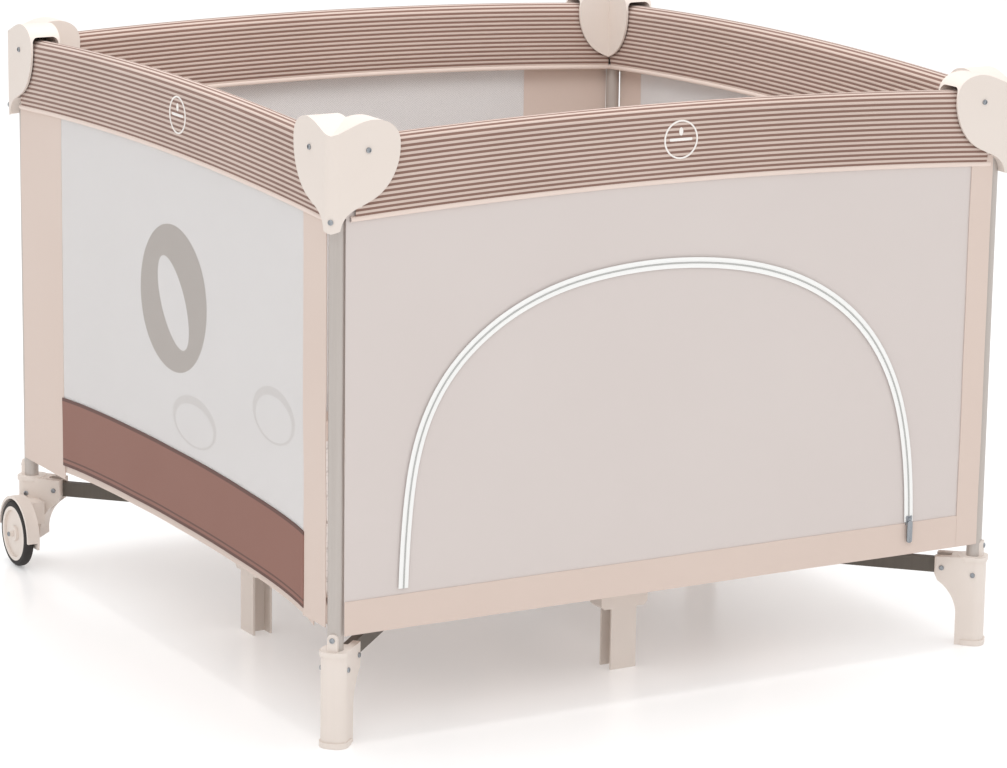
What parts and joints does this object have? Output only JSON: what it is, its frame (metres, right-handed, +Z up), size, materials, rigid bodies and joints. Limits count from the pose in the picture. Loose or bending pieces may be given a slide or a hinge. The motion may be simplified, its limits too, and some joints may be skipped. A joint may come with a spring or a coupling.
{
  "type": "folding playpen",
  "caption": "Square folding travel playpen with fabric and mesh walls, padded striped top rails, corner caps, a folding base on a central hub and two rear wheels.",
  "frame": {"origin": "on the floor under the centre of the pen", "axes": "+Z up, -Y out through the side with the zipped door, the two wheels at +Y"},
  "size_m": [1.058, 1.004, 0.776],
  "materials": {
    "post_metal": "satin drawn tube",
    "cream_plastic": "fine moulded grain",
    "dark_steel": "dark powder coat",
    "lock_plastic": "moulded",
    "rail_steel": "grey paint",
    "cover_fabric": "woven polyester and mesh",
    "mat_fabric": "quilted padding",
    "tyre_rubber": "matt rubber",
    "webbing": "woven webbing",
    "zip_metal": "stamped"
  },
  "bodies": {
    "leg_front_left": {"post_front_left": "post_metal", "corner_cap_front_left": "cream_plastic", "foot_front_left": "cream_plastic", "cover_front": "cover_fabric"},
    "strut_front_left": {"strut_front_left": "dark_steel", "mat_front_left": "mat_fabric"},
    "bracket_front_left": {"strut_bracket_front_left": "cream_plastic"},
    "leg_front_right": {"post_front_right": "post_metal", "corner_cap_front_right": "cream_plastic", "foot_front_right": "cream_plastic", "cover_right": "cover_fabric"},
    "strut_front_right": {"strut_front_right": "dark_steel", "mat_front_right": "mat_fabric"},
    "bracket_front_right": {"strut_bracket_front_right": "cream_plastic"},
    "leg_back_right": {"post_back_right": "post_metal", "corner_cap_back_right": "cream_plastic", "foot_back_right": "cream_plastic", "cover_back": "cover_fabric"},
    "strut_back_right": {"strut_back_right": "dark_steel", "mat_back_right": "mat_fabric"},
    "bracket_back_right": {"strut_bracket_back_right": "cream_plastic"},
    "leg_back_left": {"post_back_left": "post_metal", "corner_cap_back_left": "cream_plastic", "foot_back_left": "cream_plastic", "cover_left": "cover_fabric"},
    "strut_back_left": {"strut_back_left": "dark_steel", "mat_back_left": "mat_fabric"},
    "bracket_back_left": {"strut_bracket_back_left": "cream_plastic"},
    "hub": {"hub": "cream_plastic", "hub_strap": "webbing"},
    "rail_a_front": {"rail_a_front": "rail_steel"},
    "rail_b_front": {"rail_b_front": "rail_steel"},
    "lock_front": {"rail_lock_front": "lock_plastic"},
    "bar_a_front": {"side_bar_a_front": "dark_steel"},
    "bar_b_front": {"side_bar_b_front": "dark_steel"},
    "middle_leg_front": {"middle_leg_front": "cream_plastic"},
    "rail_a_right": {"rail_a_right": "rail_steel"},
    "rail_b_right": {"rail_b_right": "rail_steel"},
    "lock_right": {"rail_lock_right": "lock_plastic"},
    "bar_a_right": {"side_bar_a_right": "dark_steel"},
    "bar_b_right": {"side_bar_b_right": "dark_steel"},
    "middle_leg_right": {"middle_leg_right": "cream_plastic"},
    "rail_a_back": {"rail_a_back": "rail_steel"},
    "rail_b_back": {"rail_b_back": "rail_steel"},
    "lock_back": {"rail_lock_back": "lock_plastic"},
    "bar_a_back": {"side_bar_a_back": "dark_steel"},
    "bar_b_back": {"side_bar_b_back": "dark_steel"},
    "middle_leg_back": {"middle_leg_back": "cream_plastic"},
    "rail_a_left": {"rail_a_left": "rail_steel"},
    "rail_b_left": {"rail_b_left": "rail_steel"},
    "lock_left": {"rail_lock_left": "lock_plastic"},
    "bar_a_left": {"side_bar_a_left": "dark_steel"},
    "bar_b_left": {"side_bar_b_left": "dark_steel"},
    "middle_leg_left": {"middle_leg_left": "cream_plastic"},
    "wheel_back_right": {"wheel_rim_back_right": "cream_plastic", "wheel_tyre_back_right": "tyre_rubber"},
    "wheel_back_left": {"wheel_rim_back_left": "cream_plastic", "wheel_tyre_back_left": "tyre_rubber"},
    "zipper_pull": {"zipper_pull": "zip_metal"}
  },
  "joints": [
    {"name": "fold", "type": "hinge", "parent": "leg_front_left", "child": "strut_front_left", "pos_m": [-0.45172, -0.45172, 0.105], "axis": [0.7071, -0.7071, 0], "range_deg": [0, 82], "deforming": ["cover_front", "cover_right", "cover_back", "cover_left", "mat_front_left", "mat_front_right", "mat_back_right", "mat_back_left", "zipper_pull"]},
    {"name": "hub_on_front_left", "type": "hinge", "parent": "strut_front_left", "child": "hub", "pos_m": [-0.03889, -0.03889, 0.105], "axis": [0.7071, -0.7071, 0], "range_deg": [-83, 1]},
    {"name": "strut_front_right", "type": "hinge", "parent": "hub", "child": "strut_front_right", "pos_m": [0.03889, -0.03889, 0.105], "axis": [0.7071, 0.7071, 0], "range_deg": [-1, 83]},
    {"name": "leg_front_right", "type": "hinge", "parent": "strut_front_right", "child": "leg_front_right", "pos_m": [0.45172, -0.45172, 0.105], "axis": [0.7071, 0.7071, 0], "range_deg": [-83, 1]},
    {"name": "strut_back_right", "type": "hinge", "parent": "hub", "child": "strut_back_right", "pos_m": [0.03889, 0.03889, 0.105], "axis": [-0.7071, 0.7071, 0], "range_deg": [-1, 83]},
    {"name": "leg_back_right", "type": "hinge", "parent": "strut_back_right", "child": "leg_back_right", "pos_m": [0.45172, 0.45172, 0.105], "axis": [-0.7071, 0.7071, 0], "range_deg": [-83, 1]},
    {"name": "strut_back_left", "type": "hinge", "parent": "hub", "child": "strut_back_left", "pos_m": [-0.03889, 0.03889, 0.105], "axis": [-0.7071, -0.7071, 0], "range_deg": [-1, 83]},
    {"name": "leg_back_left", "type": "hinge", "parent": "strut_back_left", "child": "leg_back_left", "pos_m": [-0.45172, 0.45172, 0.105], "axis": [-0.7071, -0.7071, 0], "range_deg": [-83, 1]},
    {"name": "bracket_front_left", "type": "hinge", "parent": "strut_front_left", "child": "bracket_front_left", "pos_m": [-0.27743, -0.27743, 0.105], "axis": [0.7071, -0.7071, 0], "range_deg": [-83, 1]},
    {"name": "bracket_front_right", "type": "hinge", "parent": "strut_front_right", "child": "bracket_front_right", "pos_m": [0.27743, -0.27743, 0.105], "axis": [0.7071, 0.7071, 0], "range_deg": [-83, 1]},
    {"name": "bracket_back_right", "type": "hinge", "parent": "strut_back_right", "child": "bracket_back_right", "pos_m": [0.27743, 0.27743, 0.105], "axis": [-0.7071, 0.7071, 0], "range_deg": [-83, 1]},
    {"name": "bracket_back_left", "type": "hinge", "parent": "strut_back_left", "child": "bracket_back_left", "pos_m": [-0.27743, 0.27743, 0.105], "axis": [-0.7071, -0.7071, 0], "range_deg": [-83, 1]},
    {"name": "rail_a_front", "type": "hinge", "parent": "leg_front_left", "child": "rail_a_front", "pos_m": [-0.45, -0.48, 0.74], "axis": [0, 1, 0], "range_deg": [-1, 83]},
    {"name": "lock_front", "type": "hinge", "parent": "rail_a_front", "child": "lock_front", "pos_m": [-0.03717, -0.48, 0.74], "axis": [0, 1, 0], "range_deg": [-83, 1]},
    {"name": "rail_b_front", "type": "hinge", "parent": "lock_front", "child": "rail_b_front", "pos_m": [0.03717, -0.48, 0.74], "axis": [0, 1, 0], "range_deg": [-83, 1]},
    {"name": "bar_a_front", "type": "hinge", "parent": "bracket_front_left", "child": "bar_a_front", "pos_m": [-0.26188, -0.29299, 0.105], "axis": [0.2516, 0.9678, 0], "range_deg": [-1, 83]},
    {"name": "middle_leg_front", "type": "hinge", "parent": "bar_a_front", "child": "middle_leg_front", "pos_m": [-0.02334, -0.355, 0.105], "axis": [0.2516, 0.9678, 0], "range_deg": [-83, 1]},
    {"name": "bar_b_front", "type": "hinge", "parent": "bracket_front_right", "child": "bar_b_front", "pos_m": [0.26188, -0.29299, 0.105], "axis": [0.2516, -0.9678, 0], "range_deg": [-1, 83]},
    {"name": "rail_a_right", "type": "hinge", "parent": "leg_front_right", "child": "rail_a_right", "pos_m": [0.48, -0.45, 0.74], "axis": [-1, 0, 0], "range_deg": [-1, 83]},
    {"name": "lock_right", "type": "hinge", "parent": "rail_a_right", "child": "lock_right", "pos_m": [0.48, -0.03717, 0.74], "axis": [-1, 0, 0], "range_deg": [-83, 1]},
    {"name": "rail_b_right", "type": "hinge", "parent": "lock_right", "child": "rail_b_right", "pos_m": [0.48, 0.03717, 0.74], "axis": [-1, 0, 0], "range_deg": [-83, 1]},
    {"name": "bar_a_right", "type": "hinge", "parent": "bracket_front_right", "child": "bar_a_right", "pos_m": [0.29299, -0.26188, 0.105], "axis": [-0.9678, 0.2516, 0], "range_deg": [-1, 83]},
    {"name": "middle_leg_right", "type": "hinge", "parent": "bar_a_right", "child": "middle_leg_right", "pos_m": [0.355, -0.02334, 0.105], "axis": [-0.9678, 0.2516, 0], "range_deg": [-83, 1]},
    {"name": "bar_b_right", "type": "hinge", "parent": "bracket_back_right", "child": "bar_b_right", "pos_m": [0.29299, 0.26188, 0.105], "axis": [0.9678, 0.2516, 0], "range_deg": [-1, 83]},
    {"name": "rail_a_back", "type": "hinge", "parent": "leg_back_right", "child": "rail_a_back", "pos_m": [0.45, 0.48, 0.74], "axis": [0, -1, 0], "range_deg": [-1, 83]},
    {"name": "lock_back", "type": "hinge", "parent": "rail_a_back", "child": "lock_back", "pos_m": [0.03717, 0.48, 0.74], "axis": [0, -1, 0], "range_deg": [-83, 1]},
    {"name": "rail_b_back", "type": "hinge", "parent": "lock_back", "child": "rail_b_back", "pos_m": [-0.03717, 0.48, 0.74], "axis": [0, -1, 0], "range_deg": [-83, 1]},
    {"name": "bar_a_back", "type": "hinge", "parent": "bracket_back_right", "child": "bar_a_back", "pos_m": [0.26188, 0.29299, 0.105], "axis": [-0.2516, -0.9678, 0], "range_deg": [-1, 83]},
    {"name": "middle_leg_back", "type": "hinge", "parent": "bar_a_back", "child": "middle_leg_back", "pos_m": [0.02334, 0.355, 0.105], "axis": [-0.2516, -0.9678, 0], "range_deg": [-83, 1]},
    {"name": "bar_b_back", "type": "hinge", "parent": "bracket_back_left", "child": "bar_b_back", "pos_m": [-0.26188, 0.29299, 0.105], "axis": [-0.2516, 0.9678, 0], "range_deg": [-1, 83]},
    {"name": "rail_a_left", "type": "hinge", "parent": "leg_back_left", "child": "rail_a_left", "pos_m": [-0.48, 0.45, 0.74], "axis": [1, 0, 0], "range_deg": [-1, 83]},
    {"name": "lock_left", "type": "hinge", "parent": "rail_a_left", "child": "lock_left", "pos_m": [-0.48, 0.03717, 0.74], "axis": [1, 0, 0], "range_deg": [-83, 1]},
    {"name": "rail_b_left", "type": "hinge", "parent": "lock_left", "child": "rail_b_left", "pos_m": [-0.48, -0.03717, 0.74], "axis": [1, 0, 0], "range_deg": [-83, 1]},
    {"name": "bar_a_left", "type": "hinge", "parent": "bracket_back_left", "child": "bar_a_left", "pos_m": [-0.29299, 0.26188, 0.105], "axis": [0.9678, -0.2516, 0], "range_deg": [-1, 83]},
    {"name": "middle_leg_left", "type": "hinge", "parent": "bar_a_left", "child": "middle_leg_left", "pos_m": [-0.355, 0.02334, 0.105], "axis": [0.9678, -0.2516, 0], "range_deg": [-83, 1]},
    {"name": "bar_b_left", "type": "hinge", "parent": "bracket_front_left", "child": "bar_b_left", "pos_m": [-0.29299, -0.26188, 0.105], "axis": [-0.9678, -0.2516, 0], "range_deg": [-1, 83]},
    {"name": "wheel_back_left", "type": "hinge", "parent": "leg_back_left", "child": "wheel_back_left", "pos_m": [-0.516, 0.448, 0.047], "axis": [1, 0, 0], "continuous": true},
    {"name": "wheel_back_right", "type": "hinge", "parent": "leg_back_right", "child": "wheel_back_right", "pos_m": [0.516, 0.448, 0.047], "axis": [1, 0, 0], "continuous": true},
    {"name": "zipper_pull", "type": "hinge", "parent": "leg_front_left", "child": "zipper_pull", "pos_m": [0.36, -0.4978, 0.184], "axis": [-1, 0, 0], "range_deg": [0, 160]}
  ],
  "couplings": [
    {"joint": "hub_on_front_left", "follows": "fold", "ratio": -1},
    {"joint": "strut_front_right", "follows": "fold", "ratio": 1},
    {"joint": "leg_front_right", "follows": "fold", "ratio": -1},
    {"joint": "strut_back_right", "follows": "fold", "ratio": 1},
    {"joint": "leg_back_right", "follows": "fold", "ratio": -1},
    {"joint": "strut_back_left", "follows": "fold", "ratio": 1},
    {"joint": "leg_back_left", "follows": "fold", "ratio": -1},
    {"joint": "bracket_front_left", "follows": "fold", "ratio": -1},
    {"joint": "bracket_front_right", "follows": "fold", "ratio": -1},
    {"joint": "bracket_back_right", "follows": "fold", "ratio": -1},
    {"joint": "bracket_back_left", "follows": "fold", "ratio": -1},
    {"joint": "rail_a_front", "follows": "fold", "ratio": 1},
    {"joint": "lock_front", "follows": "fold", "ratio": -1},
    {"joint": "rail_b_front", "follows": "fold", "ratio": -1},
    {"joint": "bar_a_front", "follows": "fold", "ratio": 1},
    {"joint": "middle_leg_front", "follows": "fold", "ratio": -1},
    {"joint": "bar_b_front", "follows": "fold", "ratio": 1},
    {"joint": "rail_a_right", "follows": "fold", "ratio": 1},
    {"joint": "lock_right", "follows": "fold", "ratio": -1},
    {"joint": "rail_b_right", "follows": "fold", "ratio": -1},
    {"joint": "bar_a_right", "follows": "fold", "ratio": 1},
    {"joint": "middle_leg_right", "follows": "fold", "ratio": -1},
    {"joint": "bar_b_right", "follows": "fold", "ratio": 1},
    {"joint": "rail_a_back", "follows": "fold", "ratio": 1},
    {"joint": "lock_back", "follows": "fold", "ratio": -1},
    {"joint": "rail_b_back", "follows": "fold", "ratio": -1},
    {"joint": "bar_a_back", "follows": "fold", "ratio": 1},
    {"joint": "middle_leg_back", "follows": "fold", "ratio": -1},
    {"joint": "bar_b_back", "follows": "fold", "ratio": 1},
    {"joint": "rail_a_left", "follows": "fold", "ratio": 1},
    {"joint": "lock_left", "follows": "fold", "ratio": -1},
    {"joint": "rail_b_left", "follows": "fold", "ratio": -1},
    {"joint": "bar_a_left", "follows": "fold", "ratio": 1},
    {"joint": "middle_leg_left", "follows": "fold", "ratio": -1},
    {"joint": "bar_b_left", "follows": "fold", "ratio": 1}
  ]
}
